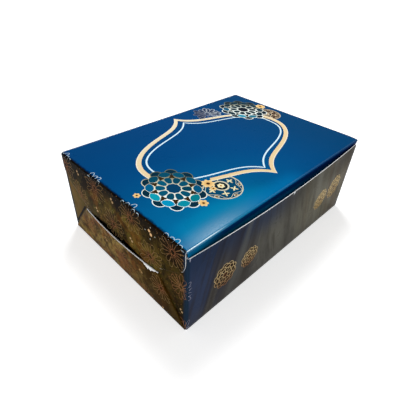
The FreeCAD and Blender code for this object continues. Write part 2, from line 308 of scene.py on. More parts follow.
# Back wall: the long wall that carries the lid on its top fold, with the bottom folds of both long walls.
# Same board, printed with a dark streaked ground under gloss film, and hollowed a hair between its folds.
BOARD = 0.5
WALL_HALF, WALL_FOOT, HINGE_Z = 100.0, 0.8, 71.5
BACK_FACE, BACK_HOLLOW = 70.5, 0.07
NAVY_FILM = (0.008, (1.0, 0.92, 0.78), 0.0)
# Each streak has its place along the wall and its half width, in metres, its share and its ink.
STREAKS = (
    (-0.0790, 0.003, 0.60, (34, 32, 40)),
    (-0.0635, 0.008, 0.50, (38, 38, 50)),
    (-0.0540, 0.006, 0.45, (94, 96, 92)),
    (-0.0440, 0.006, 0.45, (48, 44, 38)),
    (0.0000, 0.009, 0.40, (46, 42, 38)),
    (0.0260, 0.005, 0.25, (72, 56, 40)),
    (0.0450, 0.008, 0.40, (114, 114, 104)),
    (0.0640, 0.005, 0.40, (72, 54, 36)),
    (0.0760, 0.005, 0.30, (70, 54, 40)),
)


def streaked_ink(tree, coords):
    """Dark ground from navy through slate and olive to brown along the length, drawn upward into streaks.

    Streaks by the left end lean right as they rise, and the others lean left. The ground is darker above
    and navy at its ends.
    """
    x, y, z = axes(tree, coords)
    lean = scaled(tree, x, -0.062, -0.015, 0.22, -0.34)
    along = maths(tree, "SUBTRACT", x, product(tree, lean, maths(tree, "ADD", z, -0.036)))
    upright = {"X": along, "Y": y, "Z": product(tree, z, 0.1)}
    drawn = add(tree, "ShaderNodeCombineXYZ", upright).outputs["Vector"]
    wide = noise(tree, drawn, 14.0, 3.0, 0.5, 0.3)
    fine = noise(tree, drawn, 4.5, 3.0, 0.6)
    uneven = maths(tree, "ADD", scaled(tree, wide, 0.3, 0.7, -0.012, 0.012), along)
    ground = coated(
        tree,
        mixed(tree, scaled(tree, uneven, -0.085, -0.071), paint(50, 60, 84), paint(70, 68, 66)),
        (uneven, -0.055, -0.015, 1.0, (92, 91, 83)),
        (uneven, 0.0, 0.05, 1.0, (103, 100, 84)),
        (uneven, 0.06, 0.095, 1.0, (88, 78, 60)),
    )
    shade = mixed(tree, scaled(tree, x, -0.035, 0.025), paint(36, 49, 72), paint(68, 65, 54))
    shade = coated(tree, shade, (x, 0.05, 0.078, 1.0, (42, 36, 27)))
    ground = mixed(tree, scaled(tree, z, 0.036, 0.063, 0.0, 0.85), ground, shade)
    ground = coated(tree, ground, (fine, 0.45, 0.70, 0.5, (42, 35, 28)))
    for middle, half, share, ink in STREAKS:
        away = maths(tree, "ABSOLUTE", maths(tree, "SUBTRACT", along, middle))
        ground = coated(tree, ground, (away, half, 0.0, share, ink))
    to_end = maths(tree, "ABSOLUTE", x)
    return coated(
        tree,
        ground,
        (z, 0.02, 0.002, 0.3, (78, 74, 70)),
        (to_end, 0.0985, 0.1, 1.0, (31, 46, 62)),
    )


streaked_print = laminated("streaked_print", streaked_ink, NAVY_FILM, 0.7, 0.36)


def board_sheet(name, outer, inner, to_cut, printed, body, rim=(RAW, RAW, RAW, RAW)):
    """A sheet of board as a closed shell: the printed grid, the plain grid behind it and a rim between.

    outer and inner are grids of points, to_cut each point's distance to the nearest cut, in millimetres.
    rim gives the finish along the first row, last column, last row and first column.
    A sheet that bends between two bodies has no body of its own.
    """
    rows, cols = outer.shape[:2]
    front = np.arange(rows * cols).reshape(rows, cols)
    quads = np.stack([front[:-1, :-1], front[:-1, 1:], front[1:, 1:], front[1:, :-1]], -1).reshape(-1, 4)
    border = np.concatenate([front[0, :-1], front[:-1, -1], front[-1, :0:-1], front[:0:-1, 0]])
    after = np.roll(border, -1)
    wall = np.stack([border, border + front.size, after + front.size, after], -1)
    faces = np.concatenate([quads, (quads + front.size)[:, ::-1], wall])
    row, col = rows // 2, cols // 2
    middle = outer[row, col]
    turn = np.cross(outer[row, col + 1] - middle, outer[row + 1, col] - middle)
    if turn @ (middle - inner[row, col]) < 0:
        faces = faces[:, ::-1]
    mesh = bpy.data.meshes.new(name)
    mesh.from_pydata(np.concatenate([outer.reshape(-1, 3), inner.reshape(-1, 3)]) * MM, [], faces.tolist())
    rim_kinds = np.repeat(rim, [cols - 1, rows - 1, cols - 1, rows - 1])
    kinds = np.r_[np.repeat([PRINT, PLAIN], len(quads)), rim_kinds]
    board_finishes(mesh, printed, kinds, np.tile(to_cut.ravel(), 2))
    mesh.polygons.foreach_set("use_smooth", np.arange(len(faces)) < 2 * len(quads))
    sheet = bpy.data.objects.new(name, mesh)
    bpy.context.scene.collection.objects.link(sheet)
    if body:
        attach(sheet, body)
    return sheet


def back_face(x, z):
    """Outside of the back wall: flat but for a hollow, the root of half a sine from foot to fold."""
    share = np.clip((z - WALL_FOOT) / (HINGE_Z - WALL_FOOT), 0, 1)
    return BACK_FACE - BACK_HOLLOW * np.sqrt(np.abs(np.sin(np.pi * share))) + 0 * x


def on_back(x, z, height):
    """Points on the back wall's print."""
    return np.stack([x, back_face(x, z) + height, z], -1)


x, z = np.meshgrid(np.linspace(-WALL_HALF, WALL_HALF, 81), np.linspace(WALL_FOOT, HINGE_Z, 31))
outer = on_back(x, z, 0 * x)
inner = outer - [0, BOARD, 0]
to_cut = 0 * x + UNCUT
rim = [PRINT] * 4
name = "back_wall_sheet"
back_wall = board_sheet(name, outer, inner, to_cut, streaked_print, "tray", rim)
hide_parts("back_wall")
dress("bottom_back_crease", streaked_print, (0, 1, -1))
dress("bottom_front_crease", streaked_print, (0, -1, -1))

# Printed ornament on the back wall: two pairs of ten-fold rosettes in gold ink.
# Every line and filled shape of ornament on the box is a thin closed layer of opaque ink on its panel.
SUNK = -0.01
GOLD_LINE, GOLD_HIGH, GOLD_OVAL, GOLD_TURN = 0.5, 0.04, 1.08, 8.0
GOLD_CORE = paint(84, 44, 16)
# The ground, the foot and the crown of a rosette, clear and faded.
CLEAR_GOLD = (paint(54, 43, 33), paint(142, 98, 64), paint(200, 174, 126))
FADED_GOLD = (paint(106, 93, 66), paint(176, 142, 88), paint(234, 204, 146))
# The place, the size and the inks of each rosette on the front wall, which the back wall mirrors.
GOLD_ROSETTES = (
    ((-67.6, 29.4), 0.47, CLEAR_GOLD),
    ((-43.0, 29.3), 0.385, CLEAR_GOLD),
    ((52.9, 31.1), 0.42, FADED_GOLD),
    ((75.6, 34.3), 0.48, FADED_GOLD),
)
LOOP = np.linspace(0, 2 * np.pi, 16, endpoint=False)

ornament_print, tree, shader, coords = new_material("ornament_print")
skin = place(tree, film_skin, {"Vector": coords})
ink = add(tree, "ShaderNodeAttribute", attribute_name="ink").outputs["Color"]
worn = scaled(tree, noise(tree, coords, 1.6, 5.0, 0.7), 0.45, 0.75, 0.0, 0.4)
worn_ink = mixed(tree, worn, ink, (0.74, 0.70, 0.64), "MULTIPLY")
wire(tree, shader, {"Base Color": worn_ink, "Roughness": skin["Roughness"], "Specular IOR Level": 0.006})
bumped(tree, shader, skin["Height"], FILM_RIPPLE)


def tinted(colour, across, up):
    """The ink of each point: one for all, one for each shape, or what a function of the place gives."""
    shade = colour(across, up) if callable(colour) else np.array(colour)
    return np.broadcast_to(shade, (*across.shape, 3)).reshape(-1, 3)


def blended(first, second, share):
    """Ink between two inks, by a share that is kept from 0 to 1."""
    share = np.clip(share, 0, 1)[..., None]
    return np.array(first) * (1 - share) + np.array(second) * share


def ribbon(left, right, high, onto, colour, live=None):
    """Bars of ink: a flat profile of four points carried along each closed path between its two rims.

    left and right hold a row of (across, up) millimetres for each path, and live the steps that are drawn;
    each run of drawn steps is capped at both ends.
    """
    inset = 0.12 * (right - left)
    rails = np.stack([left, left + inset, right - inset, right], 2)
    across, up = rails[..., 0], rails[..., 1]
    height = np.broadcast_to([SUNK, high, high, SUNK], across.shape)
    index = np.arange(across.size).reshape(across.shape)
    live = np.ones(across.shape[:2], bool) if live is None else live
    ahead = np.roll(index, -1, 1)
    bars = np.stack([index, np.roll(index, -1, 2), np.roll(ahead, -1, 2), ahead], -1)[live].reshape(-1, 4)
    before = np.roll(live, 1, 1)
    quads = np.concatenate([bars, index[live & ~before], index[~live & before]])
    return onto(across, up, height).reshape(-1, 3), quads, np.empty((0, 3), int), tinted(colour, across, up)


def lines(paths, width, high, onto, colour, live=None):
    """Bars of even width along paths: each point is moved half the width to both sides of the path.

    A path whose last step is not drawn is open, and takes its direction at each end from the step beside it.
    """
    step = np.roll(paths, -1, 1) - np.roll(paths, 1, 1)
    if live is not None:
        ends = ~live[:, -1]
        step[ends, 0] = (paths[:, 1] - paths[:, 0])[ends]
        step[ends, -1] = (paths[:, -1] - paths[:, -2])[ends]
    length = np.linalg.norm(step, axis=-1, keepdims=True)
    side = np.stack([-step[..., 1], step[..., 0]], -1) * (width / 2) / length
    return ribbon(paths + side, paths - side, high, onto, colour, live)


def fields(loops, high, onto, colours):
    """Filled shapes: a pole above, the rim at two levels and a pole below, joined by fans and a wall."""
    count, size = loops.shape[:2]
    pole = loops.mean(1, keepdims=True)
    flat = np.concatenate([pole, loops, loops, pole], 1)
    height = np.broadcast_to(np.repeat([high, SUNK], size + 1), flat.shape[:2])
    here, there = np.arange(size), (np.arange(size) + 1) % size
    base = np.arange(count)[:, None, None] * (2 * size + 2)
    wall = np.stack([1 + here, 1 + size + here, 1 + size + there, 1 + there], -1) + base
    top = np.stack([0 * here, 1 + here, 1 + there], -1) + base
    low = np.stack([0 * here + 2 * size + 1, 1 + size + there, 1 + size + here], -1) + base
    fans = np.concatenate([top, low]).reshape(-1, 3)
    across, up = flat[..., 0], flat[..., 1]
    shade = colours if callable(colours) else np.array(colours)[:, None, :]
    return onto(across, up, height).reshape(-1, 3), wall.reshape(-1, 4), fans, tinted(shade, across, up)


def ornaments(name, parts, body):
    """One mesh of ornament on a panel, from its bars and filled shapes, with an ink for each point."""
    starts = np.cumsum([0] + [len(part[0]) for part in parts[:-1]])
    quads = np.concatenate([part[1] + start for part, start in zip(parts, starts)])
    fans = np.concatenate([part[2] + start for part, start in zip(parts, starts)])
    used, place_of = np.unique(np.r_[quads.ravel(), fans.ravel()], return_inverse=True)
    faces = place_of[: quads.size].reshape(-1, 4).tolist() + place_of[quads.size :].reshape(-1, 3).tolist()
    points, tints = (np.concatenate([part[kind] for part in parts])[used] for kind in (0, 3))
    mesh = bpy.data.meshes.new(name)
    mesh.from_pydata(points * MM, [], faces)
    shades = np.c_[tints, np.ones(len(tints))].astype(np.float32)
    mesh.attributes.new("ink", "FLOAT_COLOR", "POINT").data.foreach_set("color", shades.ravel())
    mesh.materials.append(ornament_print)
    shell = bmesh.new()
    shell.from_mesh(mesh)
    bmesh.ops.recalc_face_normals(shell, faces=shell.faces)
    shell.to_mesh(mesh)
    shell.free()
    piece = bpy.data.objects.new(name, mesh)
    bpy.context.scene.collection.objects.link(piece)
    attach(piece, body)


def spread(count, first=0.0):
    """Angles of count shapes set evenly round a centre, in degrees."""
    return first + 360.0 * np.arange(count) / count


def ring(out, across, angles):
    """A loop given by its distance out from a centre and across, set round that centre at each angle."""
    turned = np.radians(angles)[:, None]
    first = out * np.cos(turned) - across * np.sin(turned)
    return np.stack([first, out * np.sin(turned) + across * np.cos(turned)], -1)


def settled(loops, centre, size, oval=1.0, skew=0.0):
    """Loops moved to a centre, at a size, stretched upward by oval and along the diagonal by skew."""
    return np.array(centre) + size * loops @ np.array([[1.0, skew], [skew, oval]])


def lobed(radius, depth=0.0, lobes=1, first=0.0, points=48):
    """One closed loop round the centre: a circle whose radius swells by depth, lobes times round."""
    angle = np.linspace(0, 2 * np.pi, points, endpoint=False)
    reach = radius + depth * np.cos(lobes * (angle - np.radians(first)))
    return np.stack([reach * np.cos(angle), reach * np.sin(angle)], -1)[None]


def gold_rosette(centre, size, onto, shade, foot, crown):
    """Ten-fold rosette of gold lines that rust towards the foot, over a dark ground, with a red core.

    The core and the pointed petals are whole loops. The scallops, the round ends of the cells and the
    spokes between the cells are open arcs.
    """

    def rusting(across, up):
        return blended(crown, foot, 0.2 - (up - centre[1]) / (30.0 * size))

    def at_place(loops):
        return settled(loops, centre, size, GOLD_OVAL)

    facing, between = spread(10, GOLD_TURN), spread(10, GOLD_TURN + 18)
    swing, side = np.cos(LOOP), np.sin(LOOP)
    bend, turn = (np.radians(np.linspace(-reach, reach, count)) for reach, count in ((80, 14), (74, 12)))
    cell = 8.9 + 3.3 * np.cos(turn)
    core = at_place(lobed(4.9, 0.2, 10, GOLD_TURN))
    petals = at_place(ring(15.6 + 3.25 * np.sign(swing) * np.abs(swing) ** 1.4, 5.05 * side, facing))
    scallops = at_place(ring(16.7 + 5.6 * np.cos(bend), 5.6 * np.sin(bend), between))
    cells = at_place(ring(cell, 0.322 * cell * np.clip(1.25 * np.sin(turn), -1, 1), facing))
    spokes = at_place(ring(np.linspace(5.1, 10.4, 6), np.zeros(6), between))
    red = blended(shade, GOLD_CORE, np.array(0.5))
    parts = [
        fields(at_place(lobed(20.0, 1.6, 10, GOLD_TURN + 18)), 0.012, onto, [shade]),
        fields(core, 0.02, onto, [red]),
    ]
    parts += [lines(loops, GOLD_LINE, GOLD_HIGH, onto, rusting) for loops in (core, petals)]
    for arcs, high in ((scallops, GOLD_HIGH), (cells, GOLD_HIGH), (spokes, 0.94 * GOLD_HIGH)):
        live = np.ones(arcs.shape[:2], bool)
        live[:, -1] = False
        parts.append(lines(arcs, GOLD_LINE, high, onto, rusting, live))
    return parts


back_parts = []
for spot, size, inks in GOLD_ROSETTES:
    back_parts += gold_rosette((-spot[0], spot[1]), size, on_back, *inks)
ornaments("back_wall_ornament", back_parts, "tray")

# Front wall: the long wall that the tuck flap goes behind, printed like the back wall.
# Its free top edge bows outward, climbs a little to the right and shows the white core of the board.
# Its ends are folded into the dust flaps, and two nicks have flaked the print off its edge.
RIM_Z, RIM_CLIMB, WALL_BOW = 66.5, 1.8, 3.7
RIM_THICK = 0.28
BOW_RADIUS = WALL_HALF**2 / (2 * WALL_BOW) + WALL_BOW / 2
NICKS = (
    ((-4.6, 67.0), (-3.9, 64.0), (-3.3, 66.0), (-2.4, 65.2), (-2.6, 67.0)),
    ((-99.6, 66.2), (-99.7, 65.0), (-99.4, 63.2), (-98.9, 64.6), (-98.7, 66.2)),
)
NICK_INKS = [paint(226, 230, 234), paint(150, 154, 172)]


def front_face(x, z):
    """Outside of the front wall: straight at its foot, an arc of WALL_BOW at its rim, ruled between."""
    rise = (z - WALL_FOOT) / (RIM_Z - WALL_FOOT)
    arc = np.sqrt(BOW_RADIUS**2 - np.clip(x, -WALL_HALF, WALL_HALF) ** 2) - BOW_RADIUS + WALL_BOW
    return -BACK_FACE - rise * arc


def rim_height(x):
    """Height of the cut top edge: a soft climb from left to right, and a dip at the right corner."""
    climb, dip = np.clip((x + 65.0) / 130.0, 0, 1), np.clip((x - 96.5) / 3.5, 0, 1)
    return RIM_Z + RIM_CLIMB * climb**2 * (3 - 2 * climb) * (1 - 0.8 * dip)


def on_front(x, z, height):
    """Points on the front wall's print."""
    return np.stack([x, front_face(x, z) - height, z], -1)


front_rows = np.r_[np.linspace(WALL_FOOT, 62, 25), 64, 65.2, 66, RIM_Z]
x, z = np.meshgrid(np.linspace(-WALL_HALF, WALL_HALF, 101), front_rows)
z = WALL_FOOT + (z - WALL_FOOT) * (rim_height(x) - WALL_FOOT) / (RIM_Z - WALL_FOOT)
to_rim = rim_height(x) - z
outer = on_front(x, z, 0 * x)
inner = outer + np.stack([0 * x, np.where(to_rim < 0.1, RIM_THICK, BOARD), 0 * x], -1)
rim = (PRINT, PRINT, RAW, PRINT)
name = "front_wall_sheet"
front_wall = board_sheet(name, outer, inner, to_rim, streaked_print, "tray", rim)
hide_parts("front_wall")
front_parts = []
for spot, size, inks in GOLD_ROSETTES:
    front_parts += gold_rosette(spot, size, on_front, *inks)
front_parts.append(fields(np.array(NICKS), 0.02, on_front, NICK_INKS))
ornaments("front_wall_ornament", front_parts, "tray")

# Dust flaps: four flaps that line the ends, each turned in from a long wall at a corner fold.
# Printed brown outside, plain inside; the pocket flaps are glued to their lower corners.
# The print carries copper daisies, one of which runs round each front corner fold on to the wall.
SIDES = (("left", -1), ("right", 1))
FOOT_HALF, MOUTH_HALF, POCKET_TOP = 69.7, 43.5, 34.0
CORNER_ROUND = 0.8
CORNER_ARC = CORNER_ROUND * np.pi / 2
COPPER, LILAC, DOT_GOLD = paint(136, 96, 66), paint(146, 146, 162), paint(186, 152, 112)


def pocket_half(z):
    """Half the width of a pocket flap at a height."""
    return FOOT_HALF + (MOUTH_HALF - FOOT_HALF) * (z - WALL_FOOT) / (POCKET_TOP - WALL_FOOT)


def daisy(centre, size, onto, colour, keep, seed, width=0.28, fill=None):
    """Daisy of narrow loops round a small ring, long and short in turn, drawn where keep lets it show."""
    draw = np.random.default_rng(seed)
    angles = spread(16, draw.uniform(0, 22)) + draw.uniform(-4, 4, 16)
    length = (np.tile([1.0, 0.86], 8) * draw.uniform(0.94, 1.06, 16))[:, None]
    across = 1.35 * np.sin(LOOP) * (1 + 0.45 * np.cos(LOOP)) + 0 * length
    petals = ring(length * (6.7 + 4.3 * np.cos(LOOP)), across, angles)
    drawn = []
    for loops, wide in ((petals, width), (lobed(1.7, points=16), 0.6)):
        loops = settled(loops, centre, size / 11.0)
        inside = keep(loops[..., 0], loops[..., 1])
        live = inside & np.roll(inside, -1, 1)
        whole = loops[inside.all(1)]
        if fill is not None and len(whole):
            drawn.append(fields(whole, 0.016, onto, [fill] * len(whole)))
        if live.any():
            drawn.append(lines(loops, wide, 0.035, onto, colour, live))
    return drawn


def dots(centres, radius, onto, colour):
    """Small round dots of ink."""
    loops = np.concatenate([settled(lobed(radius, 0.12, 5, points=14), centre, 1.0) for centre in centres])
    return fields(loops, 0.03, onto, [colour] * len(centres))


def on_corner(way):
    """Points on a front dust flap's print and round its corner fold, by their place along it and height."""

    def onto(along, z, height):
        past = -FOOT_HALF - along
        bend = np.clip(past / CORNER_ROUND, 0, np.pi / 2)
        radius = CORNER_ROUND + height
        wall_x = -WALL_HALF + (past - CORNER_ARC)
        out = np.where(past < CORNER_ARC, -WALL_HALF - radius * np.cos(bend), wall_x)
        y = np.where(past < 0, along, -FOOT_HALF - radius * np.sin(bend))
        y = np.where(past < CORNER_ARC, y, front_face(wall_x, z) - height)
        return np.stack([-way * out, y, z], -1)

    return onto


def corner_colour(along, z):
    """Copper on the flap and pale lilac past the fold."""
    return np.where((along < -70.2)[..., None], np.array(LILAC), np.array(COPPER))


def beside_pocket(past):
    """Where a daisy shows: above the bottom fold, clear of the pocket flap and not round beyond past."""
    return lambda along, z: (z > 1.4) & (abs(along) > pocket_half(z) + 0.3) & (along > past)


for side, way in SIDES:
    for end, run in (("front", -1), ("back", 1)):
        dress("%s_%s_dust_flap" % (end, side), brown_print, (way, 0, 0))
        dress("%s_%s_corner_crease" % (end, side), streaked_print, (way, run, 0))
    onto = on_corner(way)
    flap_parts = daisy((-65.2, 38.8), 11.0, onto, corner_colour, beside_pocket(-73.6), seed=3)
    flap_parts += daisy((-69.0, 1.0), 9.0, onto, corner_colour, beside_pocket(-73.0), seed=4)
    flap_parts.append(dots([(-64.9, 17.2), (-66.3, 15.6)], 0.8, onto, DOT_GOLD))
    ornaments("%s_dust_flap_ornament" % side, flap_parts, "tray")

# Glue dabs: cold white glue pressed out thin between each pocket flap and the dust flap behind it.
# Dried to a cloudy, slightly yellow film.
glue, tree, shader, coords = new_material("dried_glue")
cloudy = noise(tree, coords, 2.0, 4.0)
glue_colour = mixed(tree, cloudy, (0.78, 0.74, 0.62), (0.60, 0.54, 0.40))
wire(tree, shader, {"Base Color": glue_colour, "Roughness": scaled(tree, cloudy, 0.3, 0.7, 0.25, 0.5)})
bumped(tree, shader, cloudy, 0.05)
for name in ("front_left_glue", "front_right_glue", "back_left_glue", "back_right_glue"):
    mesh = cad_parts[name].data
    mesh.materials.clear()
    mesh.materials.append(glue)

# Pocket flaps: outer flaps that rise from the bottom folds at both ends and hold the lid's tongues.
# Trapezoids of the same board; the free edge bows outward and leaves a dark slot behind it.
# Their khaki print has faded daisies and pairs of dots.
POCKET_X, POCKET_BOW = 101.4, 2.35
CLEAR_DAISY, CLEAR_SIZE = (-47.0, 21.9), 11.0
FAINT_DAISIES, FAINT_SIZE = ((-2.8, 19.0), (41.0, 19.5), (18.8, -1.0), (-27.0, -1.0)), 10.5
POCKET_DOTS = [(17.3, 22.8), (16.2, 20.4), (-25.2, 22.2), (-27.0, 20.9), (-47.8, 2.4)]
FAINT_RUST, TAN_DOT = paint(118, 78, 50), paint(170, 134, 90)
DAISY_HEART, DAISY_TIP = paint(120, 70, 48), paint(140, 118, 80)


def khaki_ink(tree, coords):
    """Khaki blotched with umber, rust and peat, darker towards the front."""
    _, y, _ = axes(tree, coords)
    clouds = noise(tree, coords, 12.0, 5.0, 0.65, 0.6)
    rust = noise(tree, moved(tree, coords, (0.1, 0.7, 0.4)), 15.0, 4.0)
    peat = noise(tree, coords, 4.0, 5.0, 0.7, 0.6)
    return coated(
        tree,
        mixed(tree, scaled(tree, clouds, 0.40, 0.60), paint(66, 47, 17), paint(136, 112, 62)),
        (rust, 0.48, 0.62, 0.65, (120, 70, 28)),
        (peat, 0.45, 0.61, 0.72, (58, 43, 16)),
        (y, 0.01, -0.055, 0.85, (48, 34, 11)),
    )


khaki_print = laminated("khaki_print", khaki_ink, BROWN_FILM, 0.8, 0.45)


def pocket_face(y, z):
    """How far out a pocket flap lies: straight at its foot, a parabola at its mouth, ruled between."""
    rise = (z - WALL_FOOT) / (POCKET_TOP - WALL_FOOT)
    return POCKET_X + rise * POCKET_BOW * (1 - np.minimum(abs(y) / pocket_half(z), 1) ** 2)


def on_pocket(way):
    """Points on a pocket flap's print."""
    return lambda y, z, height: np.stack([way * (pocket_face(y, z) + height), y, z], -1)


def pocket_print(y, z):
    """Where a pocket flap's print shows, a little inside its edges."""
    return (abs(y) < pocket_half(z) - 0.6) & (z < POCKET_TOP - 0.6) & (z > WALL_FOOT + 0.5)


def aged(centre, size):
    """Ink of a daisy: rust at its heart that pales to tan at its tips."""
    return lambda y, z: blended(DAISY_HEART, DAISY_TIP, np.hypot(y - centre[0], z - centre[1]) / size)


pocket_rows = np.r_[np.linspace(WALL_FOOT, 31, 19), 32.2, 33.2, POCKET_TOP]
u, z = np.meshgrid(np.linspace(-1, 1, 71), pocket_rows)
y = u * pocket_half(z)
to_cut = np.minimum(POCKET_TOP - z, UNCUT)
rim = (PRINT, PRINT, RAW, PRINT)
for side, way in SIDES:
    onto = on_pocket(way)
    outer = onto(y, z, 0 * z)
    inner = outer - [way * BOARD, 0, 0]
    name = "%s_pocket_sheet" % side
    flap = board_sheet(name, outer, inner, to_cut, khaki_print, "tray", rim)
    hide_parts("%s_pocket_flap" % side)
    ink = aged(CLEAR_DAISY, CLEAR_SIZE)
    pocket_parts = daisy(CLEAR_DAISY, CLEAR_SIZE, onto, ink, pocket_print, seed=11, width=0.24)
    for seed, spot in enumerate(FAINT_DAISIES, 12):
        pocket_parts += daisy(spot, FAINT_SIZE, onto, FAINT_RUST, pocket_print, seed, width=0.36)
    pocket_parts.append(dots(POCKET_DOTS, 0.95, onto, TAN_DOT))
    ornaments("%s_pocket_ornament" % side, pocket_parts, "tray")

# Torn ply on the left pocket's free edge, where a fingernail has lifted the print off the board.
# A ragged tongue of white fibre that hangs over the edge, widest near its middle.
TORN_START, TORN_WIDTH, TORN_DROP, TORN_THICK = -30.0, 12.0, 3.3, 0.05
u, v = np.meshgrid(np.linspace(0, 1, 41), np.linspace(0, 1, 9))
y = TORN_START - TORN_WIDTH * u
swell = np.sin(np.pi * u)
teeth = 0.5 * np.sin(23 * u) + 0.35 * np.sin(51 * u + 1)
drop = TORN_DROP * swell**0.7 * (1 - 0.35 * u) + teeth * swell
z = POCKET_TOP - 0.02 - v * np.maximum(drop, 0.05)
lift = 0.06 + 0.28 * np.sin(np.pi * v * 0.9) * swell
outer = np.stack([-pocket_face(y, z) - lift, y, z], -1)
inner = outer + [TORN_THICK, 0, 0]
board_sheet("left_pocket_torn_ply", outer, inner, 0 * u + UNCUT, raw_edge, "tray")

# Lid panel: the large printed face, hung on the back wall by the back fold.
# Deep blue ink under gloss film; it sags a hair inside its folds and curls down to the front one.
# A cream frame with a pale inner line, rosettes, medallions and gold flowers are printed on it.
LID_X, LID_FRONT, LID_BACK, LID_RIM = 100.4, -68.9, 69.45, 71.95
SAG, SAG_REACH, CURL, CURL_REACH = 0.07, 6.0, 0.5, 12.0
BLUE_FILM, BLUE_CHIPS = (0.004, (0.05, 0.45, 1.0), 0.08), 0.5


def lid_face(x, y):
    """Height of the lid's print: level at its rim, SAG lower inside, down by a parabola to the front fold."""
    inset = np.minimum(np.minimum(LID_X - abs(x), y - LID_FRONT), LID_BACK - y)
    ease = np.clip(inset / SAG_REACH, 0, 1)
    curl = np.clip((LID_FRONT + CURL_REACH - y) / CURL_REACH, 0, 1)
    return LID_RIM - SAG * ease * ease * (3 - 2 * ease) - CURL * curl**2


def on_lid(x, y, height):
    """Points on the lid's print."""
    return np.stack([x, y, lid_face(x, y) + height], -1)


def blue_ink(tree, coords):
    """Deep blue, a little darker towards the back and the right, with a ragged dark edge at the left fold.

    It turns to teal in a soft oval by the near end of the front edge, and is brighter along that edge.
    This teal and brightness are partly print and partly a painted sheen.
    """
    x, y, _ = axes(tree, coords)
    cloud = noise(tree, coords, 45.0, 3.0)
    oval = off_centre(tree, coords, (1.17, 1.51, 0), (16.7, 22.2, 0))
    ground = coated(
        tree,
        mixed(tree, scaled(tree, y, -0.07, 0.07), paint(0, 75, 127), paint(0, 64, 112)),
        (cloud, 0.35, 0.7, 0.2, (0, 67, 119)),
        (x, 0.0, 0.1, 0.8, (0, 62, 100)),
        # Partly print, partly painted sheen: teal in a soft oval by the near front corner.
        (oval, 1.9, 0.1, 0.95, (0, 95, 138)),
    )
    # Partly print, partly painted sheen: a teal strip along the front edge by the left corner.
    strip = off_centre(tree, coords, (0.845, 2.055, 0), (13.0, 30.0, 0))
    teal = product(tree, scaled(tree, strip, 0.78, 0.28), scaled(tree, x, -0.101, -0.09, 0.35, 1.0))
    ground = mixed(tree, teal, ground, paint(0, 116, 158))
    # Partly print, partly painted sheen: a brighter band along the front edge, right of the teal.
    front = scaled(tree, y, -0.055, -0.068, 0.0, 0.7)
    bright = product(tree, front, scaled(tree, x, 0.022, -0.008), scaled(tree, x, -0.06, -0.03))
    ground = mixed(tree, bright, ground, paint(0, 108, 164))
    ragged = maths(tree, "MULTIPLY_ADD", noise(tree, coords, 2.5, 3.0, 0.6), 0.003, x)
    edge = product(tree, scaled(tree, ragged, -0.0968, -0.0990, 0.0, 0.9), scaled(tree, y, -0.060, -0.045))
    return mixed(tree, edge, ground, paint(6, 22, 46))


blue_print = laminated("blue_print", blue_ink, BLUE_FILM, BLUE_CHIPS)
tree = blue_print.node_tree
coords = add(tree, "ShaderNodeTexCoord").outputs["Object"]
oval = off_centre(tree, coords, (1.34, 4.8, 0), (20.0, 70.0, 0))
shine = maths(tree, "POWER", scaled(tree, oval, 1.35, 0.0, 0.0, 0.84), 3.0)
sheen = {"Coat Weight": shine, "Metallic": scaled(tree, oval, 0.3, 1.4, 0.0, 0.08), "Coat Roughness": 0.25}
wire(tree, tree.nodes["Principled BSDF"], sheen)
# The grid is finer where the sheet bends, by its rim and in the curl.
x, y = np.meshgrid(
    np.r_[np.linspace(-LID_X, -94, 9), np.linspace(-91, 91, 63), np.linspace(94, LID_X, 9)],
    np.r_[np.linspace(LID_FRONT, -56.5, 25), np.linspace(-54, 61, 47), np.linspace(63.5, LID_BACK, 9)],
)
outer = on_lid(x, y, 0 * x)
inner = outer - [0, 0, BOARD]
to_corner = np.hypot(LID_X - abs(x), np.minimum(y - LID_FRONT, LID_BACK - y))
rim = [PRINT] * 4
lid = board_sheet("lid_sheet", outer, inner, to_corner, blue_print, "lid", rim)
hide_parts("lid_panel")

# Printed frame on the lid: a cream band with a cusp at the back and the front, and a pale line inside it.
# The band breaks off where the near rosette and medallion cover it.
FRAME_POINTS, FRAME_CENTRE, FRAME_POWER, FRAME_LEAN = 240, (2.6, 3.75), 0.877, 0.042
BACK_HALF, FRONT_HALF = slice(0, FRAME_POINTS // 2), slice(FRAME_POINTS // 2, FRAME_POINTS)
PALE, LIGHT_CREAM = paint(212, 238, 248), paint(240, 232, 208)
FRONT_CREAM, BACK_CREAM = paint(226, 200, 154), paint(226, 212, 180)


def frame_loop(centre, half, rise, power, cusp, width, lean):
    """Ogee frame: an oval whose height is a power of the sine, drawn out to cusps above and below."""
    angle = np.linspace(0, 2 * np.pi, FRAME_POINTS, endpoint=False)
    way, level = np.sign(np.sin(angle).round(9)), np.abs(np.sin(angle))
    up = way * (rise * level**power + cusp * np.exp(-half * np.abs(np.cos(angle)) / width))
    return np.stack([centre[0] + half * np.cos(angle) + lean * up, centre[1] + up], -1)[None]


def band_ink(x, y):
    """Cream, warmer at the front of the frame and paler at its back."""
    return blended(FRONT_CREAM, BACK_CREAM, (y + 10.0) / 60.0)


outer_loop = frame_loop(FRAME_CENTRE, 76.5, 42.15, FRAME_POWER, 17.6, 11.0, FRAME_LEAN)
inner_loop = frame_loop(FRAME_CENTRE, 72.2, 38.2, FRAME_POWER, 15.8, 11.0, FRAME_LEAN)
fine_loop = frame_loop((3.0, 3.2), 68.6, 32.8, 0.726, 15.4, 11.7, 0.071)
shown = ~((outer_loop[..., 0] > -70) & (outer_loop[..., 0] < -45.4) & (outer_loop[..., 1] < -20))
band_middle = (outer_loop[0] + inner_loop[0]) / 2


def band_level(x, half):
    """Height of the middle of the frame's band at x, along its back half or its front half."""
    side = band_middle[half][np.argsort(band_middle[half][:, 0])]
    return np.interp(x, side[:, 0], side[:, 1])


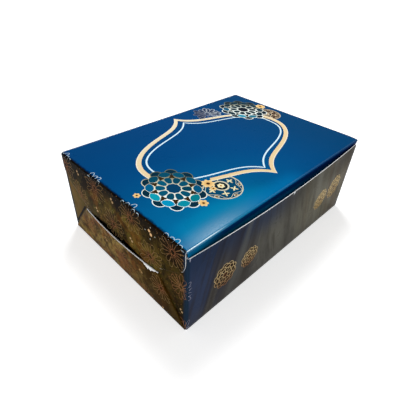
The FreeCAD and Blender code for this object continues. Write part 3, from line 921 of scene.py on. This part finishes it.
lid_parts = [
    ribbon(outer_loop, inner_loop, 0.030, on_lid, band_ink, shown),
    lines(fine_loop, 1.4, 0.034, on_lid, PALE),
    ribbon(outer_loop, 0.8 * outer_loop + 0.2 * inner_loop, 0.034, on_lid, LIGHT_CREAM, shown),
]

# Printed medallions on the lid: one at the front of the frame and a smaller one at the right edge.
# Each is round, with cross flowers and drops; the frame's band covers the top of the near one.
NEAR_MEDALLION, FAR_MEDALLION = (-42.5, -39.9), (83.6, 14.4)
MEDALLION_DARK, MEDALLION_EYE = paint(10, 34, 46), paint(168, 112, 52)
# The rim, the ground, the flowers and the drops.
NEAR_INKS = (paint(214, 208, 180), paint(8, 70, 102), paint(240, 228, 180), paint(112, 76, 46))
FAR_INKS = (paint(204, 186, 154), paint(74, 56, 46), paint(214, 196, 164), paint(58, 40, 32))


def medallion(centre, size, oval, rim, ground, charm, drop, top):
    """Round medallion: a rim, a six-lobed line, six cross flowers, six drops and a flower in a ring.

    top gives the height at each x above which the medallion is covered.
    """
    swing, side = np.cos(LOOP), np.sin(LOOP)
    cross = 1.65 + 1.25 * np.cos(4 * LOOP)
    fills = (
        (lobed(14.1), 0.010, ground),
        (ring(8.7 + cross * swing, cross * side, spread(6, 1.0)), 0.020, charm),
        (ring(12.6 + 1.1 * swing, 1.75 * side, spread(6, -31.0)), 0.016, rim),
        (ring(12.7 + 0.75 * swing, 1.2 * side, spread(6, -31.0)), 0.020, drop),
        (lobed(5.5, points=24), 0.014, rim),
        (lobed(4.4, points=24), 0.018, MEDALLION_DARK),
        (lobed(2.35, 0.25, 6, points=36), 0.022, charm),
        (lobed(0.85, points=12), 0.026, MEDALLION_EYE),
    )
    parts = []
    for loops, high, colour in fills:
        loops = settled(loops, centre, size, oval)
        loops = loops[(loops[..., 1] < top(loops[..., 0])).any(1)]
        loops[..., 1] = np.minimum(loops[..., 1], top(loops[..., 0]))
        parts.append(fields(loops, high, on_lid, [colour] * len(loops)))
    for loops, width in ((lobed(14.1), 0.8), (lobed(12.1, 1.5, 6, 1.0), 0.42)):
        loops = settled(loops, centre, size, oval)
        live = loops[..., 1] < top(loops[..., 0])
        parts.append(lines(loops, width * size**0.5, 0.024, on_lid, rim, live))
    return parts


lid_parts += medallion(NEAR_MEDALLION, 1.0, 1.08, *NEAR_INKS, lambda x: band_level(x, FRONT_HALF))
lid_parts += medallion(FAR_MEDALLION, 0.82, 1.1, *FAR_INKS, lambda x: 0 * x + LID_BACK)

# Printed rosettes, gold flowers and the grey daisy on the lid.
# A rosette is a pale ground on which dark and teal fields leave its lines bare, one at each end of the frame.
# The daisy shows from behind the frame's band, and the flowers lie over everything.
NEAR_SPOT, FAR_SPOT = (-68.4, -21.4), (73.3, 37.0)
# The near, the middle and the far tone of a rosette's lines.
NEAR_LINE = (paint(242, 250, 248), paint(220, 216, 190), paint(106, 110, 86))
FAR_LINE = (paint(228, 238, 232), paint(178, 182, 168), paint(88, 98, 88))
# The core, the cells, the petals, the gaps and the scallops of a rosette.
NEAR_TONES = (paint(2, 62, 98), paint(6, 72, 96), paint(8, 78, 104), paint(56, 40, 20), paint(8, 46, 64))
FAR_TONES = (paint(14, 24, 38), paint(22, 42, 52), paint(22, 50, 64), paint(44, 38, 28), paint(12, 30, 44))
# Petals that are lit, by their number round the rosette.
NEAR_LIT = {
    4: paint(0, 92, 134),
    5: paint(16, 152, 174),
    6: paint(6, 142, 186),
    7: paint(10, 136, 158),
    8: paint(4, 120, 134),
    9: paint(4, 82, 120),
}
FAR_LIT = {4: paint(18, 82, 112), 6: paint(44, 138, 164), 7: paint(40, 108, 130)}
# The place, the size and the number of petals of each gold flower.
FLOWERS = (
    ((-47.2, -32.4), 4.6, 8),
    ((-48.7, -38.8), 2.2, 6),
    ((-64.8, -45.7), 3.2, 6),
    ((-91.1, -12.0), 2.4, 6),
    ((93.7, 31.0), 4.8, 8),
)
FLOWER_HIGH, EYE_HIGH = 0.06, 0.066
FLOWER_HEART, FLOWER_RIM, FLOWER_EYE = paint(206, 146, 72), paint(246, 214, 150), paint(64, 40, 18)
GREY_DAISY, GREY_SIZE, GREY_FILL = (37.6, 51.8), 14.5, paint(36, 52, 80)


def filled_rosette(centre, size, oval, first, line, tones, lit, skew=0.0, more=0.0):
    """Rosette on the lid: a ground of the line's ink, on which coloured fields leave its lines bare.

    From outside in these are scallops, lens-shaped petals, three-cornered gaps, round cells and a core;
    lit gives some petals an ink of their own, and more how much wider the lines are.
    """
    core, cell, petal, gap, scallop = tones
    draw = np.random.default_rng(5)
    petals = np.tile(petal, (10, 1)) * draw.uniform(0.7, 1.15, (10, 1))
    cells = np.tile(cell, (10, 1)) * draw.uniform(0.7, 1.45, (10, 1))
    for number, ink in lit.items():
        petals[number] = ink
    swing, side = np.cos(LOOP), np.sin(LOOP)
    out, corner = 8.4 + (3.2 - more) * swing, 1.7 - more + 0.5 * np.cos(3 * LOOP)
    lens, inner_lens = (np.sign(swing) * np.abs(swing) ** power for power in (1.8, 1.5))
    cell_side = (1.25 + 0.13 * out - 0.9 * more) * np.sign(side) * np.abs(side) ** 0.66
    facing, between = spread(10, first), spread(10, first + 18)
    layers = (
        (ring(16.6 + 4.7 * swing, 4.7 * side, between), 0.036, line),
        (ring(16.6 + (4.1 - more) * swing, (4.1 - more) * side, between), 0.041, [scallop] * 10),
        (lobed(13.2), 0.044, line),
        (ring(15.25 + 3.25 * lens, 4.7 * side, facing), 0.047, line),
        (ring(15.25 + (2.85 - more) * inner_lens, (4.2 - more) * side, facing), 0.052, petals),
        (ring(out, cell_side, facing), 0.052, cells),
        (ring(12.35 + corner * swing, corner * side, between), 0.055, [gap] * 10),
        (lobed(4.7 - more, 0.2, 10, first + 18), 0.052, [core]),
    )
    parts = []
    for loops, high, ink in layers:
        parts.append(fields(settled(loops, centre, size, oval, skew), high, on_lid, ink))
    return parts


def rosette_line(middle, first, reach, tones):
    """Ink of a rosette's lines: three tones in a row from its near side to its far side."""

    def ink(x, y):
        share = np.clip((x - middle[0] + y - middle[1] - first) / reach, 0, 1)
        return np.stack([np.interp(share, (0, 0.5, 1), part) for part in np.transpose(tones)], -1)

    return ink


def gold_flower(centre, size, petals):
    """Solid gold flower of round petals, paler to the rim, with a dark eye."""

    def aglow(x, y):
        return blended(FLOWER_HEART, FLOWER_RIM, np.hypot(x - centre[0], y - centre[1]) / size)

    angle = np.linspace(0, 2 * np.pi, 12 * petals, endpoint=False)
    reach = 0.72 + 0.28 * np.abs(np.cos(petals / 2 * (angle - 0.35)))
    head = np.stack([reach * np.cos(angle), reach * np.sin(angle)], -1)[None]
    head, eye = (settled(loops, centre, size, 1.1) for loops in (head, lobed(0.27, points=14)))
    return [fields(head, FLOWER_HIGH, on_lid, aglow), fields(eye, EYE_HIGH, on_lid, [FLOWER_EYE])]


def daisy_line(x, y):
    """Grey at the left of the daisy that turns pale at its right."""
    return blended(paint(112, 116, 130), paint(200, 208, 214), (x - 34.0) / 12.0)


def behind_band(x, y):
    """Where the grey daisy shows: behind the frame's band and clear of the back fold."""
    return (y < 68.5) & (y > band_level(x, BACK_HALF))


near_line = rosette_line(NEAR_SPOT, -18.0, 40.0, NEAR_LINE)
lid_parts += filled_rosette(NEAR_SPOT, 1.0, 1.16, -3.2, near_line, NEAR_TONES, NEAR_LIT, 0.03)
far_line = rosette_line(FAR_SPOT, -3.4, 26.0, FAR_LINE)
lid_parts += filled_rosette(FAR_SPOT, 1.03, 1.15, -3.0, far_line, FAR_TONES, FAR_LIT, 0.0, 0.22)
for centre, size, petals in FLOWERS:
    lid_parts += gold_flower(centre, size, petals)
lid_parts += daisy(GREY_DAISY, GREY_SIZE, on_lid, daisy_line, behind_band, seed=21, width=0.6, fill=GREY_FILL)
ornaments("lid_ornament", lid_parts, "lid")

# Lid folds: the four scored creases that work as hinges, each a quarter round of board beside the lid.
# The print is stretched over them; the front fold has painted shade below and a painted highlight along its
# top.
FOLD, FOLD_WIDER = 1.1, 0.5
FRONT_TOP = LID_RIM - CURL - FOLD
SIDE_BACK, SIDE_CUT = 69.2, 69.4
fold_bend = np.linspace(0, np.pi / 2, 9)[:, None]
fold_share = np.linspace(-1, 1, 91)[None, :]
dress("lid_back_crease", blue_print, (0, 1, 1), 0.1)


def fold_strip(name, at, to_cut, printed, node, cut):
    """Quarter round strip that bends between the lid and a flap.

    at gives its points for a radius, in millimetres, and cut is the finish of its two short edges.
    """
    rim = (PRINT, cut, PRINT, cut)
    strip = board_sheet(name, at(FOLD), at(FOLD - BOARD), to_cut, printed, None, rim)
    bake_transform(strip)
    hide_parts(node)


def front_fold(radius):
    """Points of the front fold at a radius about its axis; it widens a little on its way down."""
    front_x = fold_share * (LID_X + FOLD_WIDER * np.sin(fold_bend))
    y, z = LID_FRONT - radius * np.sin(fold_bend), FRONT_TOP + radius * np.cos(fold_bend)
    return np.stack(np.broadcast_arrays(front_x, y, z), -1)


def shaded_ink(tree, coords):
    """The lid's blue, with painted shade over the front fold and just below it, save by the left corner."""
    x, _, z = axes(tree, coords)
    # Painted shade over the lower part of the front fold and the top of the tuck flap, weaker by the left
    # corner.
    over = scaled(tree, z, (FRONT_TOP + 0.8) * MM, (FRONT_TOP - 0.5) * MM)
    down = scaled(tree, z, (FRONT_TOP - 8) * MM, (FRONT_TOP - 3) * MM)
    painted_shade = product(tree, over, down, scaled(tree, x, -0.1, -0.068, 0.3, 0.93))
    return mixed(tree, painted_shade, blue_ink(tree, coords), paint(0, 32, 78))


def fold_highlight_ink(tree, coords):
    """The fold's blue, with a painted highlight along its top: a bright line at the left end that fades to a
    faint one.
    """
    x, _, z = axes(tree, coords)
    ridge = scaled(tree, z, (FRONT_TOP + 0.8) * MM, (FRONT_TOP + 0.98) * MM)
    # Painted highlight: pale along the top of the fold, strong at the left end and faint along the rest.
    painted_highlight = product(tree, ridge, scaled(tree, x, -0.066, -0.086, 0.035, 0.95))
    return mixed(tree, painted_highlight, shaded_ink(tree, coords), paint(206, 232, 244))


fold_print = laminated("fold_print", fold_highlight_ink, BLUE_FILM, BLUE_CHIPS)
tree = fold_print.node_tree
along, _, _ = axes(tree, add(tree, "ShaderNodeTexCoord").outputs["Object"])
sheen = {"Coat Weight": scaled(tree, along, -0.045, -0.085, 0.04, 0.5), "Coat Roughness": 0.12}
wire(tree, tree.nodes["Principled BSDF"], sheen)
fold_strip(
    "lid_front_fold",
    front_fold,
    np.full((fold_bend.size, fold_share.size), UNCUT),
    fold_print,
    "lid_tuck_crease",
    PRINT,
)
side_front = FOLD_WIDER * np.sin(fold_bend) - LID_FRONT
side_y = fold_share * np.where(fold_share < 0, side_front, SIDE_BACK)


def side_fold(way):
    """Points of a side fold at a radius about its axis, which follows the lid's curl."""

    def at(radius):
        x = way * (LID_X + radius * np.sin(fold_bend))
        z = lid_face(LID_X, side_y) - FOLD + radius * np.cos(fold_bend)
        return np.stack(np.broadcast_arrays(x, side_y, z), -1)

    return at


for side, way in SIDES:
    fold_strip(
        "%s_lid_fold" % side,
        side_fold(way),
        SIDE_CUT - abs(side_y),
        brown_print,
        side + "_lid_crease",
        RAW,
    )

# Tuck flap: hangs from the lid's front fold and slips behind the front wall.
# Printed blue outside with plain board behind; it leans inward, and its free corners are cut round.
# It widens a little up to the fold, and is thinned at its score, so that it folds clear of the lid.
TUCK_LEAN = np.tan(np.radians(6.5))
TUCK_FOOT, TUCK_HALF, TUCK_ROUND = 45.6, 100.0, 10.0
FLARE, FLARE_FROM, FLARE_RISE = 0.45, 66.8, 3.4
SCORED, SCORE_SLOPE = 0.19, 0.14
tuck_rows = np.linspace(TUCK_FOOT, FRONT_TOP, 41)[:, None]
flare = np.clip((tuck_rows - FLARE_FROM) / FLARE_RISE, 0, 1)
fall = np.clip(TUCK_FOOT + TUCK_ROUND - tuck_rows, 0, TUCK_ROUND)
tuck_half = TUCK_HALF - TUCK_ROUND + np.sqrt(TUCK_ROUND**2 - fall**2) + FLARE * flare**2
u, z = np.meshgrid(np.linspace(-1, 1, 81), tuck_rows)
x = u * tuck_half
outer = np.stack([x, LID_FRONT - FOLD + (FRONT_TOP - z) * TUCK_LEAN, z], -1)
inner = outer + np.stack([0 * z, np.minimum(SCORED + SCORE_SLOPE * (FRONT_TOP - z), BOARD), 0 * z], -1)
to_cut = np.minimum(tuck_half - abs(x) + UNCUT * flare, z - TUCK_FOOT)
# The tuck's blue carries painted shade near its top, where it goes down behind the front wall's rim.
tuck_print = laminated("tuck_print", shaded_ink, BLUE_FILM, BLUE_CHIPS)
rim = (RAW, PRINT, PRINT, PRINT)
tuck = board_sheet("tuck_sheet", outer, inner, to_cut, tuck_print, "tuck_flap", rim)
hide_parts("lid_tuck_flap")

# End tongues: flaps on the lid's short edges, with round shoulders and a tip that goes into the pocket.
# Printed brown outside with copper daisies, plain inside, with a raw white edge at the sides.
# The daisies under the left fold run over it on to the lid, where they are pale.
TONGUE_X, TONGUE_TOP = LID_X + FOLD, LID_RIM - FOLD
SHOULDER, ENTRY, TIP = np.array((69.2, 53.0)), np.array((35.5, 34.0)), np.array((24.0, 26.0))
SHOULDER_ROUND, TIP_ROUND = 16.0, 6.0
TOP_ROW = ((23.6, 63.8), (-18.1, 63.4), (-58.8, 63.6), (65.2, 63.7))
LOW_ROW = ((49.4, 44.8), (3.6, 44.0), (-37.3, 43.2))
DAISY_SIZE, DAISY_SEED = 12.5, 31
TOP_DOTS = [(47.2, 66.2), (46.0, 64.2), (2.6, 66.0), (1.4, 64.0)]
LOW_DOTS = [(26.2, 44.9), (24.9, 42.8), (-16.0, 44.4), (-17.6, 42.6)]
BRIGHT_PAIR = [(-37.7, 65.5), (-39.2, 63.3)]
PALE_DOTS = [(-39.2, 68.9), (-33.7, 64.0), (-43.0, 64.0), (-38.3, 59.3)]
BRIGHT_DOT, PALE_DOT, SPILL = paint(226, 182, 132), paint(168, 172, 164), paint(196, 218, 230)


def tongue_ink(tree, coords):
    """The brown of the dust flaps, with a tip of painted slot shade, near black below a shallow parabola."""
    _, y, z = axes(tree, coords)
    off = maths(tree, "SUBTRACT", y, 0.006)
    level = maths(tree, "MULTIPLY_ADD", product(tree, off, off), 3.2, z)
    # Painted shade: the tip goes near black up to just above the pocket's mouth.
    return coated(tree, brown_ink(tree, coords), (level, 0.0388, 0.0362, 1.0, (9, 8, 7)))


tongue_print = laminated("tongue_print", tongue_ink, BROWN_FILM, 0.6)


def tongue_half(z):
    """Half the width of a tongue at a height: straight, a round shoulder, a slant, and a round low corner."""
    slant, low = SHOULDER - ENTRY, ENTRY - TIP
    above, below = ENTRY[0] + (z - ENTRY[1]) * slant[0] / slant[1], TIP[0] + (z - TIP[1]) * low[0] / low[1]
    straight = np.minimum(np.where(z > ENTRY[1], above, below), SHOULDER[0])
    turn = np.arctan2(slant[0], slant[1])
    centre_z = SHOULDER[1] + SHOULDER_ROUND * np.tan(turn / 2)
    arc = SHOULDER[0] - SHOULDER_ROUND + np.sqrt(np.maximum(SHOULDER_ROUND**2 - (z - centre_z) ** 2, 0))
    on_arc = (z < centre_z) & (z > centre_z - SHOULDER_ROUND * np.sin(turn))
    rise = np.clip(TIP_ROUND - (z - TIP[1]), 0, TIP_ROUND)
    return np.where(on_arc, arc, straight) - 0.55 * (TIP_ROUND - np.sqrt(TIP_ROUND**2 - rise**2))


def on_tongue(way):
    """Points on a tongue's print."""
    return lambda y, z, height: np.stack([way * (TONGUE_X + height), y, z], -1)


def tongue_shows(y, z):
    """Where a tongue's print shows, a little inside its cut edges and up to its fold."""
    inside = abs(y) < tongue_half(np.clip(z, TIP[1], TONGUE_TOP)) - 0.5
    return inside & (z > TIP[1] + 0.5) & (z < TONGUE_TOP)


def over_left_fold(y, along, height):
    """Points past the left tongue's top: round the side fold by their length beyond it, then on the lid."""
    past = along - TONGUE_TOP
    turned = np.clip(past / FOLD, 0, np.pi / 2)
    radius = FOLD + height
    on_fold = past < FOLD * np.pi / 2
    x = np.where(on_fold, LID_X + radius * np.cos(turned), LID_X - (past - FOLD * np.pi / 2))
    level = lid_face(LID_X, y) - FOLD + radius * np.sin(turned)
    return np.stack([-x, y, np.where(on_fold, level, lid_face(x, y) + height)], -1)


def spilled(y, along):
    """Where the daisies go on past the left tongue's top."""
    return (along > TONGUE_TOP - 0.6) & (abs(y) < 68.4)


def tongue_daisies(onto, keep, width, ink=None):
    """The two rows of daisies on a tongue, in one ink or each aged from its own heart."""
    parts = []
    for seed, spot in enumerate(TOP_ROW + LOW_ROW, DAISY_SEED):
        parts += daisy(spot, DAISY_SIZE, onto, ink or aged(spot, DAISY_SIZE), keep, seed, width)
    return parts


tongue_rows = TIP[1] + (TONGUE_TOP - TIP[1]) * (1 - np.cos(np.linspace(0, np.pi, 61))) / 2
u, z = np.meshgrid(np.linspace(-1, 1, 61), tongue_rows)
y = u * tongue_half(z)
to_cut = np.minimum(tongue_half(z) - abs(y), z - TIP[1])
rim = (PRINT, RAW, PRINT, RAW)
for side, way in SIDES:
    onto = on_tongue(way)
    outer = onto(y, z, 0 * z)
    inner = outer - [way * BOARD, 0, 0]
    name, body = side + "_tongue_sheet", side + "_end_flap"
    tongue = board_sheet(name, outer, inner, to_cut, tongue_print, body, rim)
    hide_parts("%s_lid_end_flap" % side)
    tongue_parts = [
        dots(TOP_DOTS + LOW_DOTS, 0.9, onto, DOT_GOLD),
        dots(BRIGHT_PAIR, 1.15, onto, BRIGHT_DOT),
        dots(PALE_DOTS, 0.45, onto, PALE_DOT),
    ]
    tongue_parts += tongue_daisies(onto, tongue_shows, 0.24)
    ornaments("%s_tongue_ornament" % side, tongue_parts, body)
    if side == "left":
        spill_parts = tongue_daisies(over_left_fold, spilled, 0.42, SPILL)
        ornaments("left_lid_edge_ornament", spill_parts, "lid")

# Floor and surround.
# A wide pale floor that keeps the box's shadow, in an even white room.
# Both glow for the camera and for gloss; for other rays the floor is plain and the room a dim fill.
FLOOR_HALF = 6.0


def seen(tree):
    """One for rays from the camera, off gloss or through glass, and nought for rays that light the box."""
    path = add(tree, "ShaderNodeLightPath").outputs
    first = maths(tree, "MAXIMUM", path["Is Camera Ray"], path["Is Glossy Ray"])
    return maths(tree, "MAXIMUM", first, path["Is Transmission Ray"])


pale, tree, shader, coords = new_material("pale_floor")
away = add(tree, "ShaderNodeVectorMath", {0: coords}, operation="LENGTH").outputs["Value"]
floor_finish = {
    "Base Color": (0.88, 0.88, 0.88, 1),
    "Roughness": 1.0,
    "Specular IOR Level": 0.0,
    "Emission Color": (1, 1, 1, 1),
    "Emission Strength": product(tree, seen(tree), scaled(tree, away, 0.35, 1.2, 0.5, 1.3)),
}
wire(tree, shader, floor_finish)
floor_mesh = bpy.data.meshes.new("floor")
square = np.array([(-1, -1, 0), (1, -1, 0), (1, 1, 0), (-1, 1, 0)])
floor_mesh.from_pydata(square * FLOOR_HALF, [], [(0, 1, 2, 3)])
floor_mesh.materials.append(pale)
floor = bpy.data.objects.new("floor", floor_mesh)
bpy.context.scene.collection.objects.link(floor)

world = bpy.data.worlds.new("studio")
world.use_nodes = True
bpy.context.scene.world = world
tree = world.node_tree
tree.nodes.clear()
fill = add(tree, "ShaderNodeBackground", {"Color": (1, 1, 1, 1), "Strength": 0.35})
white = add(tree, "ShaderNodeBackground", {"Color": (1, 1, 1, 1), "Strength": 1.0})
both = add(tree, "ShaderNodeMixShader", {0: seen(tree), 1: fill.outputs[0], 2: white.outputs[0]})
add(tree, "ShaderNodeOutputWorld", {"Surface": both.outputs[0]})

# Lamps and camera.
# One soft lamp behind the box and a softer one on the camera's side.
# The camera stands where the photograph's did, and its lens follows from a focal length in pixels.
PICTURE_PX, FOCAL_PX, SENSOR = 400.0, 335.671, 36.0
EYE = (-0.18643298, -0.15937419, 0.19864363)
RIGHT = (0.7133299, -0.6997187, 0.0394245)
UP = (0.3971933, 0.4499857, 0.7998440)
BACK = (-0.5774062, -0.5548934, 0.5989117)


def soft_lamp(name, spot, aim, size, power):
    """A square area lamp at spot, turned to aim."""
    lamp = bpy.data.lights.new(name, "AREA")
    lamp.size, lamp.energy = size, power
    holder = bpy.data.objects.new(name, lamp)
    bpy.context.scene.collection.objects.link(holder)
    holder.location = spot
    holder.rotation_euler = (Vector(aim) - Vector(spot)).to_track_quat("-Z", "Y").to_euler()


soft_lamp("back_lamp", (0.22, 0.25, 0.72), (-0.05, -0.03, 0.07), 0.28, 4.5)
soft_lamp("front_lamp", (-0.90, -0.60, 0.35), (0.0, 0.0, 0.03), 0.7, 5.4)

camera = bpy.data.cameras.new("camera")
camera.sensor_fit = "HORIZONTAL"
camera.sensor_width = SENSOR
camera.lens = SENSOR * FOCAL_PX / PICTURE_PX
camera.clip_start, camera.clip_end = 0.01, 50.0
eye = bpy.data.objects.new("camera", camera)
bpy.context.scene.collection.objects.link(eye)
eye.matrix_world = Matrix([*zip(RIGHT, UP, BACK, EYE), (0, 0, 0, 1)])
bpy.context.scene.camera = eye
bpy.context.scene.view_settings.view_transform = "Standard"
